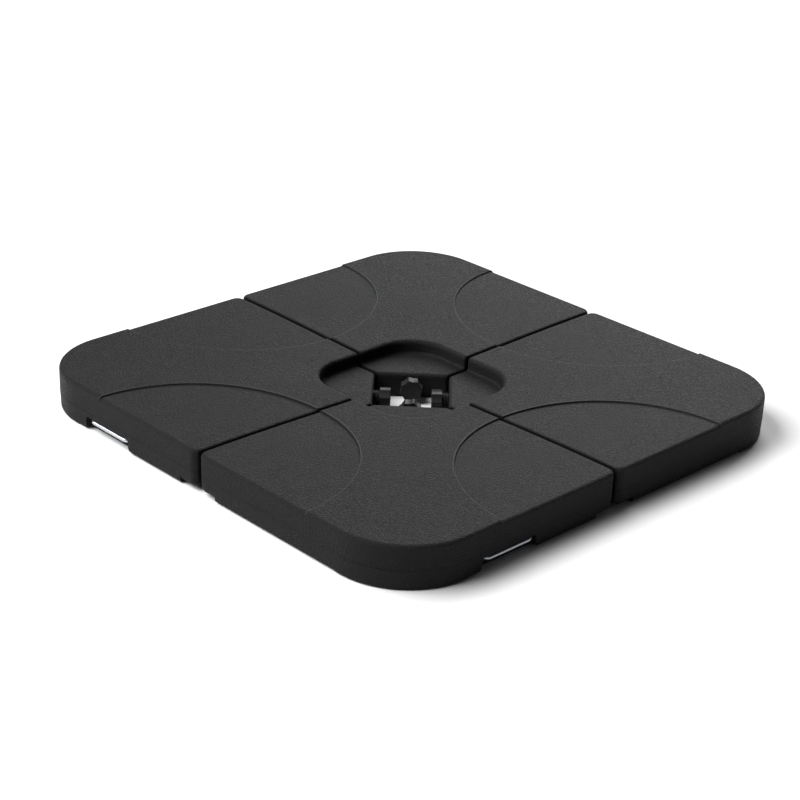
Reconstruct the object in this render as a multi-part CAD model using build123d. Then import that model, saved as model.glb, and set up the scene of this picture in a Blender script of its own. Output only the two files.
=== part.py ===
from build123d import *
import os
from math import hypot, radians, sin, sqrt

# Parasol base: a set of four fillable plastic weight plates that lie together as a rounded square.
# Each plate is a hollow tank with a threaded filler neck that points at the middle of the set, a
# screw cap with a sealing washer, and a steel pull-out carrying handle under its outer edge.
# Frame: millimetres, +Z up, the ground at Z = 0, the middle of the set at X = Y = 0.
# The seams between the plates run along X and Y. Each plate is the back_right plate (+X, +Y)
# turned about Z in quarter turns.

# Overall set
SET_SIDE = 972.0
HALF = SET_SIDE / 2
SEAM_GAP = 3.0
PLATE_HEIGHT = 78.0
CORNER_RADIUS = 140.0
SEAM_CORNER_RADIUS = 17.0
TOP_EDGE_RADIUS = 6.5
BOTTOM_EDGE_RADIUS = 5.0
WALL = 4.0
SIDE_WALL = 5.0
RIM_WALL = 7.0

# The top falls gently from its outer rim to the middle of the set
DISH_DEPTH = 7.5
DISH_RADIUS = 462.0

# Lowered lobes of the top, inside an arc about the outer end of each seam
LOBE_STEP = 2.8
LOBE_RADIUS = 270.0
LOBE_CENTRE = HALF + 3.0
LOBE_WALL_SLOPE = 25.0

# Side wall: a moulding groove at mid height and a drafted lower half
GROOVE_Z = 35.0
GROOVE_HEIGHT = 1.2
GROOVE_DEPTH = 0.4
LOWER_DRAFT = 2.5

# Recess about the middle of the set, and the opening through it
RECESS_HALF = 139.0
RECESS_CORNER_RADIUS = 78.0
RECESS_FLOOR_Z = 47.5
RECESS_RIM_RADIUS = 7.5
RECESS_FOOT_RADIUS = 4.0
OPENING_FACE = 68.0
OPENING_CORNER_RADIUS = 9.0

# Underside: raised bays at the outer ends of the seams, and a slightly raised run along each side
BAY_HEIGHT = 5.0
BAY_WIDTH = 46.0
BAY_LENGTH = 80.0
BAY_EDGE_RADIUS = 12.0
RUN_HEIGHT = 1.5
RUN_END = 338.0
RUN_DEPTH = 14.0

# Filler neck, local Z out of the opening face along the neck's axis
NECK_Z = 26.0
NECK_LENGTH = 26.2
NECK_RADIUS = 14.2
NECK_BORE_RADIUS = 11.0
THREAD_PITCH = 4.5
THREAD_HEIGHT = 2.0
THREAD_CLEARANCE = 0.5
NECK_THREAD_BASE = 2.2
NECK_THREAD_TIP = 1.2
NECK_THREAD_START = 2.0
NECK_THREAD_TURNS = 5.0

# Screw cap
CAP_START = 12.0
CAP_LENGTH = 19.3
CAP_RADIUS = 21.0
CAP_END_WALL = 3.0
CAP_FLUTES = 8
CAP_FLUTE_RADIUS = 24.0
CAP_FLUTE_BOTTOM = 18.7
CAP_FLUTE_TURN = -7.0
CAP_FLUTE_EDGE_RADIUS = 1.0
CAP_FACE_RADIUS = 1.4
CAP_SKIRT_RADIUS = 0.6
CAP_INNER_RADIUS = 16.7
CAP_THREAD_BASE = 1.9
CAP_THREAD_TIP = 1.0
CAP_THREAD_TURNS = 2.5

# Sealing washer in the cap
WASHER_THICKNESS = 2.0
WASHER_RADIUS = 16.2
WASHER_HOLE_RADIUS = 10.0

# Handle notch in the lower part of the outer wall
NOTCH_CENTRE = 251.0
NOTCH_WIDTH = 122.0
NOTCH_HEIGHT = 26.0
NOTCH_DEPTH = 17.5
NOTCH_TOP_RADIUS = 7.0
NOTCH_FLARE_RADIUS = 12.0

# Pull-out wire handle
WIRE_RADIUS = 3.5
HANDLE_CENTRE = 248.5
HANDLE_Z = 19.0
HANDLE_INSET = 4.2
HANDLE_ARM_SPACING = 103.0
HANDLE_BEND_RADIUS = 10.0
HANDLE_ARM_END = 75.0
HANDLE_TRAVEL = 38.0
WIRE_END_CHAMFER = 0.8

# Guide bushes, their sockets in the tank, and the stop rings on the wire
BUSH_RADIUS = 5.4
BUSH_LENGTH = 14.0
BUSH_BORE_RADIUS = 3.85
BUSH_FLANGE_RADIUS = 6.7
BUSH_FLANGE_THICKNESS = 1.8
SOCKET_END = 79.0
SOCKET_WALL = 3.0
RING_RADIUS = 4.9
RING_LENGTH = 4.0
RING_CLEARANCE = 0.5

# Construction margins: past the part's faces, into a wall it joins, and for finding edges
TALL = 30.0
OVERCUT = 1.0
HELIX_OVERLAP = 0.3
TOLERANCE = 0.01
STEEP = 0.9

PLATES = ("back_right", "back_left", "front_left", "front_right")
DIAGONAL = Plane(origin=(0, 0, 0), z_dir=(1, -1, 0))


def plate_outline(inset=0.0):
    """Plan of one plate, offset inwards by inset."""
    near = SEAM_GAP / 2 + inset
    far = HALF - inset
    face = OPENING_FACE + inset
    tip = face * sqrt(2) - near
    corners = [(tip, near), (far, near), (far, far), (near, far), (near, tip)]
    plan = make_face(Polyline(*corners, close=True))
    outer = plan.vertices().filter_by(lambda v: v.X > HALF / 2 and v.Y > HALF / 2)
    plan = fillet(outer, CORNER_RADIUS - inset)
    seam_ends = plan.vertices().filter_by(lambda v: v.X > far - TOLERANCE and v.Y < near + TOLERANCE)
    seam_ends += plan.vertices().filter_by(lambda v: v.Y > far - TOLERANCE and v.X < near + TOLERANCE)
    plan = fillet(seam_ends, SEAM_CORNER_RADIUS - inset)
    inner = plan.vertices().filter_by(lambda v: hypot(v.X, v.Y) < tip + OVERCUT)
    return fillet(inner, OPENING_CORNER_RADIUS)


def dish_space(drop):
    """The space above the set's top surface, lowered by drop."""
    top = PLATE_HEIGHT - drop
    rise = DISH_DEPTH / 2
    bend = DISH_RADIUS / 2
    arc_radius = (bend**2 + rise**2) / (2 * rise)
    sag = arc_radius - sqrt(arc_radius**2 - (bend / 2) ** 2)
    bottom = top - DISH_DEPTH
    far = SET_SIDE
    sky = PLATE_HEIGHT + 2 * TALL
    profile = [
        ThreePointArc((0, bottom), (bend / 2, bottom + sag), (bend, bottom + rise)),
        ThreePointArc((bend, bottom + rise), (1.5 * bend, top - sag), (DISH_RADIUS, top)),
        Polyline((DISH_RADIUS, top), (far, top), (far, sky), (0, sky), (0, bottom)),
    ]
    return revolve(Plane.XZ * make_face(profile), Axis.Z)


def column(bottom_z, edge_radius):
    """One plate's side walls, from bottom_z to above its top, with a rounded bottom edge."""
    groove_low = GROOVE_Z - GROOVE_HEIGHT / 2
    groove_high = GROOVE_Z + GROOVE_HEIGHT / 2
    outline = plate_outline()
    upper = Pos(0, 0, groove_high) * extrude(outline, PLATE_HEIGHT - groove_high + TALL)
    band = Pos(0, 0, groove_low) * extrude(plate_outline(GROOVE_DEPTH), GROOVE_HEIGHT)
    lower = extrude(Pos(0, 0, groove_low) * outline, bottom_z - groove_low, taper=LOWER_DRAFT)
    lower = fillet(lower.edges().group_by(Axis.Z)[0], edge_radius)
    return upper + band + lower


def recess_space(clearance, bottom_z):
    """The recess about the middle of the set, widened by clearance and open above bottom_z."""
    side = 2 * (RECESS_HALF + clearance)
    plan = RectangleRounded(side, side, RECESS_CORNER_RADIUS + clearance)
    return Pos(0, 0, bottom_z) * extrude(plan, PLATE_HEIGHT)


def recessed_block(drop):
    """The set's top surface, lowered by drop, over one plate and beyond it, with the recess let in."""
    side = HALF + 2 * TALL
    block = Box(side, side, PLATE_HEIGHT + TALL, align=(Align.MIN, Align.MIN, Align.MIN))
    block = Pos(-TALL, -TALL, 0) * block - dish_space(drop)
    recess = recess_space(0, RECESS_FLOOR_Z)
    block -= fillet(recess.edges().group_by(Axis.Z)[0], RECESS_FOOT_RADIUS)

    def on_rim(edge):
        point = edge @ 0.5
        near = max(point.X, point.Y) < RECESS_HALF + TOLERANCE
        return near and point.Z > RECESS_FLOOR_Z + RECESS_FOOT_RADIUS and abs((edge % 0.5).Z) < STEEP

    return fillet(block.edges().filter_by(on_rim), RECESS_RIM_RADIUS)


def topped(walls, drop):
    """Side walls closed by the set's top surface, lowered by drop, with every upper edge rounded."""
    outline = plate_outline().face().outer_wire()
    body = walls & recessed_block(drop)

    def on_upper_rim(edge):
        point = edge @ 0.5
        if point.Z < GROOVE_Z + GROOVE_HEIGHT or outline.distance_to((point.X, point.Y, 0)) > TOLERANCE:
            return False
        recess_end = abs(max(point.X, point.Y) - RECESS_HALF) < TOLERANCE
        return recess_end or abs((edge % 0.5).Z) < STEEP

    return fillet(body.edges().filter_by(on_upper_rim), TOP_EDGE_RADIUS)


def build_tank_block():
    """The outer form of one tank, without its notch, neck or hollow."""
    walls = column(0, BOTTOM_EDGE_RADIUS)
    body = topped(walls, 0)
    lobe_top = topped(walls, LOBE_STEP)
    spread = TALL / 2 * sin(radians(LOBE_WALL_SLOPE))
    lobe = Cone(LOBE_RADIUS - spread, LOBE_RADIUS + spread, TALL)
    for x, y in ((LOBE_CENTRE, 0), (0, LOBE_CENTRE)):
        body -= Pos(x, y, PLATE_HEIGHT) * lobe - lobe_top

    corner = (Align.MAX, Align.MIN, Align.CENTER)
    bay = Pos(HALF + OVERCUT, 0, 0) * Box(BAY_LENGTH, BAY_WIDTH, TALL, align=corner)
    run = Pos(HALF + OVERCUT, BAY_WIDTH, 0) * Box(RUN_DEPTH, RUN_END - BAY_WIDTH, TALL, align=corner)
    for space in (bay - column(BAY_HEIGHT, BAY_EDGE_RADIUS), run - column(RUN_HEIGHT, BOTTOM_EDGE_RADIUS)):
        body -= space
        body -= mirror(space, about=DIAGONAL)
    return body


def notch_space():
    """The handle notch cut in from the +Y side wall: its front outline, pushed in by its depth."""
    half = NOTCH_WIDTH / 2
    foot = half + NOTCH_FLARE_RADIUS
    roof = half - NOTCH_TOP_RADIUS
    shoulder = NOTCH_HEIGHT - NOTCH_TOP_RADIUS
    to_arc = 1 - sqrt(0.5)
    low_mid = NOTCH_FLARE_RADIUS * to_arc
    top_mid = NOTCH_TOP_RADIUS * to_arc
    right = [
        ThreePointArc((foot, 0), (half + low_mid, low_mid), (half, NOTCH_FLARE_RADIUS)),
        Line((half, NOTCH_FLARE_RADIUS), (half, shoulder)),
        ThreePointArc((half, shoulder), (half - top_mid, NOTCH_HEIGHT - top_mid), (roof, NOTCH_HEIGHT)),
    ]
    left = [mirror(part, about=Plane.YZ) for part in right]
    ceiling = Line((roof, NOTCH_HEIGHT), (-roof, NOTCH_HEIGHT))
    under = Polyline((foot, 0), (foot, -BAY_HEIGHT), (-foot, -BAY_HEIGHT), (-foot, 0))
    outline = Plane.XZ * make_face(right + left + [ceiling, under])
    space = extrude(outline, NOTCH_DEPTH + OVERCUT, dir=(0, -1, 0))
    return Pos(NOTCH_CENTRE, HALF + OVERCUT, 0) * space


def handle_arms():
    """X of the handle's two arms on the back_right plate."""
    return [HANDLE_CENTRE + side * HANDLE_ARM_SPACING / 2 for side in (-1, 1)]


def inward_cylinder(radius, start, end, x):
    """A cylinder along -Y at an arm's place, from start to end measured in from the side wall."""
    return Pos(x, HALF - (start + end) / 2, HANDLE_Z) * Rot(90, 0, 0) * Cylinder(radius, end - start)


def thread_ridge(core_radius, tip_radius, base_width, tip_width, start, turns):
    """One helical ridge about Z, rooted in a wall at core_radius and reaching to tip_radius."""
    sink = HELIX_OVERLAP if tip_radius > core_radius else -HELIX_OVERLAP
    path = Helix(THREAD_PITCH, THREAD_PITCH * turns, core_radius)
    section_plane = Plane(origin=path @ 0, x_dir=(1, 0, 0), z_dir=path % 0)
    rise = tip_radius - core_radius
    profile = make_face(Polyline((-sink, -base_width / 2), (rise, -tip_width / 2),
                                 (rise, tip_width / 2), (-sink, base_width / 2), close=True))
    return Pos(0, 0, start) * sweep(section_plane * profile, path, is_frenet=True)


def build_neck():
    """The threaded filler neck, standing on its own local XY plane."""
    root = Cylinder(NECK_RADIUS, NECK_LENGTH + WALL, align=(Align.CENTER, Align.CENTER, Align.MIN))
    neck = Pos(0, 0, -WALL) * root
    neck += thread_ridge(NECK_RADIUS, NECK_RADIUS + THREAD_HEIGHT, NECK_THREAD_BASE, NECK_THREAD_TIP,
                         NECK_THREAD_START, NECK_THREAD_TURNS)
    return neck


def neck_plane():
    """Where the neck stands on the opening face, with Z towards the middle of the set."""
    foot = OPENING_FACE / sqrt(2)
    return Plane(origin=(foot, foot, NECK_Z), x_dir=(1, -1, 0), z_dir=(-1, -1, 0))


def build_hollow():
    """The space inside one tank, clear of the notch and of the handle's sockets."""
    hollow = extrude(Pos(0, 0, BAY_HEIGHT + WALL) * plate_outline(SIDE_WALL), PLATE_HEIGHT)
    hollow -= dish_space(LOBE_STEP + WALL)
    hollow -= recess_space(RIM_WALL, RECESS_FLOOR_Z - WALL)
    notch_wall = Box(NOTCH_WIDTH + 2 * (NOTCH_FLARE_RADIUS + WALL), NOTCH_DEPTH + WALL,
                     2 * (NOTCH_HEIGHT + WALL), align=(Align.CENTER, Align.MAX, Align.CENTER))
    hollow -= Pos(NOTCH_CENTRE, HALF, 0) * notch_wall
    for x in handle_arms():
        hollow -= inward_cylinder(BUSH_RADIUS + SOCKET_WALL, 0, SOCKET_END + SOCKET_WALL, x)
    return hollow


def build_tank():
    """One hollow tank with its notch, handle sockets and threaded filler neck."""
    tank = build_tank_block()
    tank -= notch_space()
    tank -= build_hollow()
    for x in handle_arms():
        tank -= inward_cylinder(BUSH_RADIUS, NOTCH_DEPTH - OVERCUT, SOCKET_END, x)
    tank += neck_plane() * build_neck()
    bore_length = NECK_LENGTH + 2 * WALL + 2 * OVERCUT
    bore = Pos(0, 0, -2 * WALL) * Cylinder(NECK_BORE_RADIUS, bore_length,
                                           align=(Align.CENTER, Align.CENTER, Align.MIN))
    return tank - neck_plane() * bore


def build_handle():
    """The steel wire handle: a bar along the wall with two straight arms running inwards."""
    half = HANDLE_ARM_SPACING / 2
    bend = HANDLE_BEND_RADIUS
    front = HALF - HANDLE_INSET
    back = HALF - HANDLE_ARM_END
    path = FilletPolyline((-half, back), (-half, front), (half, front), (half, back), radius=bend)
    wire = sweep(Plane(origin=path @ 0, z_dir=path % 0) * Circle(WIRE_RADIUS), path)
    ends = wire.edges().filter_by(lambda e: max((e @ 0.5).Y, (e @ 0).Y) < back + TOLERANCE)
    wire = chamfer(ends, WIRE_END_CHAMFER)
    return Pos(HANDLE_CENTRE, 0, HANDLE_Z) * wire


def build_bushes():
    """The two flanged guide bushes pressed into the tank behind the notch."""
    bushes = []
    for x in handle_arms():
        flange_start = NOTCH_DEPTH - BUSH_FLANGE_THICKNESS
        bush = inward_cylinder(BUSH_RADIUS, flange_start, NOTCH_DEPTH + BUSH_LENGTH, x)
        bush += inward_cylinder(BUSH_FLANGE_RADIUS, flange_start, NOTCH_DEPTH, x)
        bushes.append(bush - inward_cylinder(BUSH_BORE_RADIUS, 0, HANDLE_ARM_END, x))
    return Compound(children=bushes)


def build_stop_rings():
    """The two rings pressed on the handle's arms, which stop it at the end of its travel."""
    start = NOTCH_DEPTH + BUSH_LENGTH + HANDLE_TRAVEL + RING_CLEARANCE
    end = start + RING_LENGTH
    rings = []
    for x in handle_arms():
        ring = inward_cylinder(RING_RADIUS, start, end, x)
        rings.append(ring - inward_cylinder(WIRE_RADIUS, start - OVERCUT, end + OVERCUT, x))
    return Compound(children=rings)


def build_cap():
    """The fluted screw cap, in the neck's local frame."""
    flute_distance = CAP_FLUTE_BOTTOM + CAP_FLUTE_RADIUS
    outline = Circle(CAP_RADIUS)
    for flute in range(CAP_FLUTES):
        turn = CAP_FLUTE_TURN + 360 / CAP_FLUTES * flute
        outline -= Rot(0, 0, turn) * Pos(flute_distance, 0) * Circle(CAP_FLUTE_RADIUS)
    outline = fillet(outline.vertices(), CAP_FLUTE_EDGE_RADIUS)
    cap = extrude(outline, CAP_LENGTH)
    cap = fillet(cap.edges().group_by(Axis.Z)[-1], CAP_FACE_RADIUS)
    cap = fillet(cap.edges().group_by(Axis.Z)[0], CAP_SKIRT_RADIUS)
    cavity = Cylinder(CAP_INNER_RADIUS, CAP_LENGTH - CAP_END_WALL,
                      align=(Align.CENTER, Align.CENTER, Align.MIN))
    cap = Pos(0, 0, CAP_START) * (cap - cavity)
    phase = THREAD_PITCH / 2
    start = NECK_THREAD_START + phase + 2 * THREAD_PITCH
    return cap + thread_ridge(CAP_INNER_RADIUS, NECK_RADIUS + THREAD_CLEARANCE, CAP_THREAD_BASE,
                              CAP_THREAD_TIP, start, CAP_THREAD_TURNS)


def build_washer():
    """The flat sealing washer between the cap and the neck's end."""
    washer = Cylinder(WASHER_RADIUS, WASHER_THICKNESS) - Cylinder(WASHER_HOLE_RADIUS, WASHER_THICKNESS)
    centre = CAP_START + CAP_LENGTH - CAP_END_WALL - WASHER_THICKNESS / 2
    return Pos(0, 0, centre) * washer


def main():
    os.makedirs("parts", exist_ok=True)
    pieces = {
        "tank": build_tank(),
        "handle": build_handle(),
        "handle_bushes": build_bushes(),
        "handle_stop_rings": build_stop_rings(),
        "filler_cap": neck_plane() * build_cap(),
        "filler_washer": neck_plane() * build_washer(),
    }
    for turn, plate in enumerate(PLATES):
        for name, piece in pieces.items():
            export_step(Rot(0, 0, 90 * turn) * piece, f"parts/{name}_{plate}.step")


main()
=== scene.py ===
import math

import bpy
from mathutils import Matrix, Vector

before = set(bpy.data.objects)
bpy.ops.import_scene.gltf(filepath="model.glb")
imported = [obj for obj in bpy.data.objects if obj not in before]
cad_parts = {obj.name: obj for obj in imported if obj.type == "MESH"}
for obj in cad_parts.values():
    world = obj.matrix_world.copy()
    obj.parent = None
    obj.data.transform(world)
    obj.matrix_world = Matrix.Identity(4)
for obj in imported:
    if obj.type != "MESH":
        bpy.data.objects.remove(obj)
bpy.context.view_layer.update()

# Four fillable plates of matt black plastic, on the white floor of a studio.
# Lengths are in metres and angles in degrees.

PLATES = ("back_right", "back_left", "front_left", "front_right")

# Lowered lobes of the top: their centres lie on the seams' lines, just past the outer ends
LOBE_DISTANCE = 0.489
LOBE_CENTRES = ((LOBE_DISTANCE, 0.0), (0.0, LOBE_DISTANCE), (-LOBE_DISTANCE, 0.0), (0.0, -LOBE_DISTANCE))
CREST_RADIUS = 0.2705

# Painted highlight along a lobe's crest: full up to the first distance from the crest, gone at the
# second.
# It fades in between the two heights, so that it doesn't run down over the outer edge.
CREST_HIGHLIGHT_DISTANCE = (0.0006, 0.0019)
CREST_HIGHLIGHT_HEIGHT = (0.0728, 0.0738)
CREST_HIGHLIGHT_STRENGTH = 0.5

# Painted shade in the seams between the plates: full up to the first distance from the seam's middle,
# gone at the second
SEAM_SHADE_DISTANCE = (0.0035, 0.0062)

# Most of a noise's values lie between these two
NOISE_RANGE = (0.3, 0.7)

FLOOR_SIZE = 60.0
FLOOR_Z = -0.0005

# Square area lights that face the origin: name, place, side and power in watts
LIGHTS = (
    ("key", (-3.2, -4.2, 5.8), 6.5, 1170.0),
    ("back", (-3.7, 6.5, 4.7), 5.5, 690.0),
)
WORLD_STRENGTH = 0.05

# The camera stands out along its azimuth and elevation, and is shifted across its view
CAMERA_AZIMUTH = 45.588
CAMERA_ELEVATION = 24.922
CAMERA_ROLL = 2.218
CAMERA_DISTANCE = 3.50693
CAMERA_SIDE_SHIFT = -0.01834
CAMERA_TOP_SHIFT = 0.0239
CAMERA_LENS_MM = 87.58
CAMERA_SENSOR_MM = 36.0
CAMERA_CLIP_END = 100.0


# ---------------------------------------------------------------- node helpers
class Nodes:
    """A new material with a principled shader, and short ways to add nodes to it."""

    def __init__(self, name):
        self.material = bpy.data.materials.new(name)
        self.material.use_nodes = True
        self.tree = self.material.node_tree
        self.tree.nodes.clear()
        out = self.tree.nodes.new("ShaderNodeOutputMaterial")
        self.shader = self.tree.nodes.new("ShaderNodeBsdfPrincipled")
        self.link(self.shader.outputs["BSDF"], out.inputs["Surface"])
        self.coord = self.tree.nodes.new("ShaderNodeTexCoord").outputs["Object"]

    def link(self, source, target):
        self.tree.links.new(source, target)

    def set(self, **values):
        """Set shader inputs to plain values, with _ for each space in their names."""
        for name, value in values.items():
            self.shader.inputs[name.replace("_", " ")].default_value = value

    def feed(self, **sources):
        """Link sources to shader inputs, with _ for each space in their names."""
        for name, source in sources.items():
            self.link(source, self.shader.inputs[name.replace("_", " ")])

    def axes(self):
        node = self.tree.nodes.new("ShaderNodeSeparateXYZ")
        self.link(self.coord, node.inputs["Vector"])
        return [node.outputs[axis] for axis in "XYZ"]

    def noise(self, scale, detail=4.0, roughness=0.55):
        node = self.tree.nodes.new("ShaderNodeTexNoise")
        node.inputs["Scale"].default_value = scale
        node.inputs["Detail"].default_value = detail
        node.inputs["Roughness"].default_value = roughness
        self.link(self.coord, node.inputs["Vector"])
        return node.outputs["Fac"]

    def smooth_cells(self, scale, smoothness):
        node = self.tree.nodes.new("ShaderNodeTexVoronoi")
        node.feature = "SMOOTH_F1"
        node.inputs["Scale"].default_value = scale
        node.inputs["Smoothness"].default_value = smoothness
        self.link(self.coord, node.inputs["Vector"])
        return node.outputs["Distance"]

    def spread(self, value, low, high, out_low=0.0, out_high=1.0):
        """Map low..high to out_low..out_high, and hold the ends."""
        node = self.tree.nodes.new("ShaderNodeMapRange")
        node.inputs["From Min"].default_value = low
        node.inputs["From Max"].default_value = high
        node.inputs["To Min"].default_value = out_low
        node.inputs["To Max"].default_value = out_high
        self.link(value, node.inputs["Value"])
        return node.outputs["Result"]

    def math(self, operation, first, second=0.0):
        node = self.tree.nodes.new("ShaderNodeMath")
        node.operation = operation
        for socket, value in zip(node.inputs, (first, second)):
            if isinstance(value, float):
                socket.default_value = value
            else:
                self.link(value, socket)
        return node.outputs["Value"]

    def mix(self, fac, first, second):
        """Mix two colours, each an RGB tuple or a socket."""
        node = self.tree.nodes.new("ShaderNodeMix")
        node.data_type = "RGBA"
        self.link(fac, node.inputs["Factor"])
        for socket, value in ((node.inputs[6], first), (node.inputs[7], second)):
            if isinstance(value, tuple):
                socket.default_value = (*value, 1.0)
            else:
                self.link(value, socket)
        return node.outputs[2]

    def two_tone(self, pattern, dark, light):
        return self.mix(self.spread(pattern, *NOISE_RANGE), dark, light)

    def bump(self, height, distance, strength):
        node = self.tree.nodes.new("ShaderNodeBump")
        node.inputs["Distance"].default_value = distance
        node.inputs["Strength"].default_value = strength
        self.link(height, node.inputs["Height"])
        return node.outputs["Normal"]


# ---------------------------------------------------------------- materials
def crest_highlight_mask(n, x, y, z):
    """Mask of the painted highlight: 1 along the crest of the lowered lobes, 0 elsewhere."""
    nearest = None
    for centre_x, centre_y in LOBE_CENTRES:
        off_x = n.math("SUBTRACT", x, centre_x)
        off_y = n.math("SUBTRACT", y, centre_y)
        squares = n.math("ADD", n.math("MULTIPLY", off_x, off_x), n.math("MULTIPLY", off_y, off_y))
        gap = n.math("ABSOLUTE", n.math("SUBTRACT", n.math("SQRT", squares), CREST_RADIUS))
        nearest = gap if nearest is None else n.math("MINIMUM", nearest, gap)
    line = n.spread(nearest, *CREST_HIGHLIGHT_DISTANCE, 1.0, 0.0)
    return n.math("MULTIPLY", line, n.spread(z, *CREST_HIGHLIGHT_HEIGHT))


def seam_shade_mask(n, x, y):
    """Mask of the painted shade: 1 on the walls of the seams between the plates, 0 elsewhere."""
    seam = n.math("MINIMUM", n.math("ABSOLUTE", x), n.math("ABSOLUTE", y))
    return n.spread(seam, *SEAM_SHADE_DISTANCE, 1.0, 0.0)


def tank_plastic():
    """Matt black blow-moulded polyethylene with a fine leathery grain, a painted highlight on the lobes'
    crests and painted shade in the seams.
    """
    n = Nodes("tank_polyethylene")
    x, y, z = n.axes()
    crest_highlight = n.math("MULTIPLY", crest_highlight_mask(n, x, y, z), CREST_HIGHLIGHT_STRENGTH)
    seam_shade = seam_shade_mask(n, x, y)

    colour = n.two_tone(n.noise(9.0, 5.0, 0.6), (0.0118, 0.0118, 0.0124), (0.0142, 0.0142, 0.0148))
    flecks = n.spread(n.noise(140.0, 3.0, 0.6), 0.35, 0.75, 0.0, 0.2)
    colour = n.mix(flecks, colour, (0.019, 0.019, 0.0198))
    # Lighter colour along the lobes' crests: a painted highlight of their rounded edges
    colour = n.mix(crest_highlight, colour, (0.055, 0.055, 0.057))
    # Near-black colour in the seams: painted shade between the plates
    colour = n.mix(seam_shade, colour, (0.003, 0.003, 0.003))

    speckle = n.spread(n.noise(430.0, 2.0, 0.5), 0.34, 0.66, 0.42, 0.72)
    leather = n.math("ADD", n.smooth_cells(330.0, 0.5), n.noise(700.0, 3.0, 0.6))
    n.feed(Base_Color=colour,
           Roughness=n.math("MAXIMUM", speckle, seam_shade),
           Normal=n.bump(leather, 0.0013, 0.9))
    n.set(Specular_IOR_Level=0.08, Specular_Tint=(0.93, 0.94, 1.0, 1.0))
    return n.material


def cap_plastic():
    """Black injection-moulded polypropylene of the screw caps."""
    n = Nodes("cap_polypropylene")
    tone = n.noise(160.0, 4.0, 0.6)
    n.feed(Base_Color=n.two_tone(tone, (0.0125, 0.0125, 0.013), (0.017, 0.017, 0.0175)),
           Roughness=n.spread(n.noise(420.0), *NOISE_RANGE, 0.42, 0.54),
           Normal=n.bump(n.noise(1800.0, 3.0), 0.0002, 0.3))
    n.set(Specular_IOR_Level=0.12)
    return n.material


def zinc_wire():
    """Bright, slightly blue zinc plating of the handles."""
    n = Nodes("zinc_plated_wire")
    tone = n.noise(300.0, 4.0, 0.6)
    n.feed(Base_Color=n.two_tone(tone, (0.5, 0.53, 0.58), (0.64, 0.67, 0.71)),
           Roughness=n.spread(n.noise(700.0), *NOISE_RANGE, 0.26, 0.38),
           Normal=n.bump(n.noise(2500.0, 3.0), 0.0001, 0.3))
    n.set(Metallic=1.0)
    return n.material


def rubber():
    """Dull black rubber of the sealing washers."""
    n = Nodes("washer_rubber")
    tone = n.noise(300.0)
    n.feed(Base_Color=n.two_tone(tone, (0.014, 0.014, 0.014), (0.022, 0.022, 0.022)),
           Roughness=n.spread(tone, *NOISE_RANGE, 0.6, 0.8),
           Normal=n.bump(n.noise(1500.0), 0.0002, 0.4))
    return n.material


def bush_nylon():
    """Black nylon of the handles' guide bushes."""
    n = Nodes("bush_nylon")
    tone = n.noise(300.0)
    n.feed(Base_Color=n.two_tone(tone, (0.02, 0.02, 0.021), (0.03, 0.03, 0.031)),
           Roughness=n.spread(tone, *NOISE_RANGE, 0.4, 0.55),
           Normal=n.bump(n.noise(1500.0), 0.0001, 0.4))
    return n.material


def ring_steel():
    """Bare steel of the rings that stop the handles."""
    n = Nodes("ring_steel")
    tone = n.noise(400.0)
    n.feed(Base_Color=n.two_tone(tone, (0.4, 0.4, 0.41), (0.55, 0.55, 0.56)),
           Roughness=n.spread(tone, *NOISE_RANGE, 0.3, 0.45),
           Normal=n.bump(n.noise(2500.0), 0.0001, 0.4))
    n.set(Metallic=1.0)
    return n.material


def dress(nodes):
    """Give every CAD node its material."""
    looks = {
        "tank": tank_plastic(),
        "filler_cap": cap_plastic(),
        "filler_washer": rubber(),
        "handle": zinc_wire(),
        "handle_bushes": bush_nylon(),
        "handle_stop_rings": ring_steel(),
    }
    for plate in PLATES:
        for piece, look in looks.items():
            materials = nodes[f"{piece}_{plate}"].data.materials
            materials.clear()
            materials.append(look)


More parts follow.
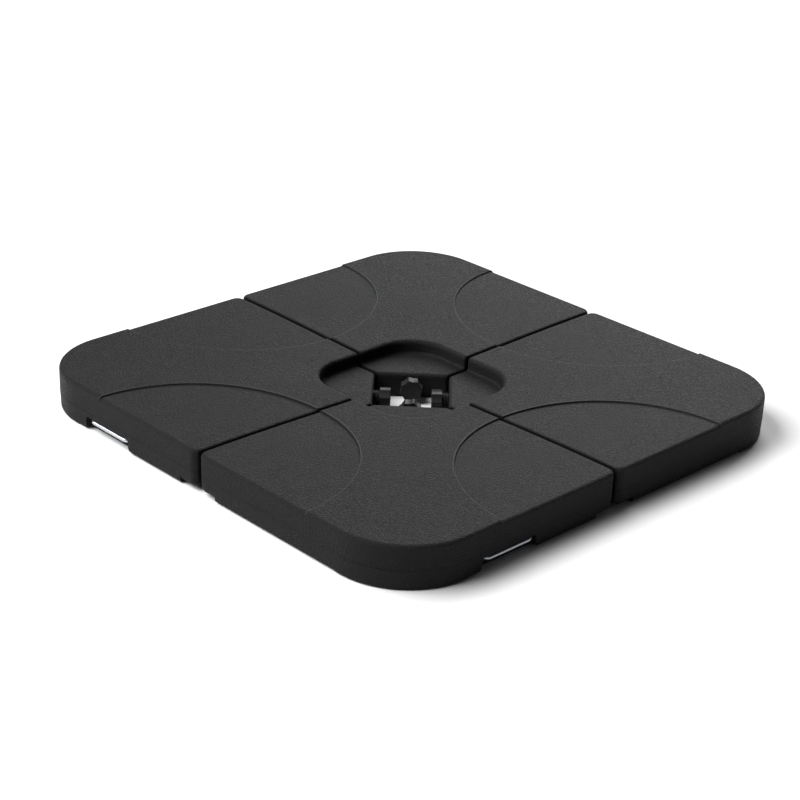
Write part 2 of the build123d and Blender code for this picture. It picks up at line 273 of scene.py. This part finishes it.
# ---------------------------------------------------------------- stage, light, camera
def floor_plane():
    n = Nodes("studio_floor")
    n.feed(Base_Color=n.mix(n.noise(0.8, 2.0), (0.86, 0.86, 0.86), (0.88, 0.88, 0.88)))
    n.set(Roughness=0.9, Specular_IOR_Level=0.0)
    bpy.ops.mesh.primitive_plane_add(size=FLOOR_SIZE, location=(0, 0, FLOOR_Z))
    floor = bpy.context.object
    floor.name = "studio_floor"
    floor.data.materials.append(n.material)


def area_light(name, place, side, power):
    data = bpy.data.lights.new(name, "AREA")
    data.shape = "SQUARE"
    data.size = side
    data.energy = power
    light = bpy.data.objects.new(name, data)
    bpy.context.scene.collection.objects.link(light)
    light.location = place
    to_origin = -Vector(place)
    light.rotation_euler = to_origin.to_track_quat("-Z", "Y").to_euler()


def studio_light():
    world = bpy.data.worlds.new("studio")
    bpy.context.scene.world = world
    world.use_nodes = True
    background = world.node_tree.nodes["Background"]
    background.inputs["Color"].default_value = (1.0, 1.0, 1.0, 1.0)
    background.inputs["Strength"].default_value = WORLD_STRENGTH
    for light in LIGHTS:
        area_light(*light)


def camera():
    azimuth = math.radians(CAMERA_AZIMUTH)
    elevation = math.radians(CAMERA_ELEVATION)
    roll = math.radians(CAMERA_ROLL)
    back = Vector((math.sin(azimuth) * math.cos(elevation),
                   -math.cos(azimuth) * math.cos(elevation),
                   math.sin(elevation)))
    right = Vector((math.cos(azimuth), math.sin(azimuth), 0.0))
    up = back.cross(right)
    side = right * math.cos(roll) + up * math.sin(roll)
    top = up * math.cos(roll) - right * math.sin(roll)
    place = back * CAMERA_DISTANCE + side * CAMERA_SIDE_SHIFT + top * CAMERA_TOP_SHIFT
    data = bpy.data.cameras.new("camera")
    data.sensor_width = CAMERA_SENSOR_MM
    data.lens = CAMERA_LENS_MM
    data.clip_end = CAMERA_CLIP_END
    cam = bpy.data.objects.new("camera", data)
    bpy.context.scene.collection.objects.link(cam)
    cam.matrix_world = Matrix((
        (side.x, top.x, back.x, place.x),
        (side.y, top.y, back.y, place.y),
        (side.z, top.z, back.z, place.z),
        (0.0, 0.0, 0.0, 1.0)))
    bpy.context.scene.camera = cam
    bpy.context.scene.view_settings.view_transform = "Standard"


dress(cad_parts)
floor_plane()
studio_light()
camera()
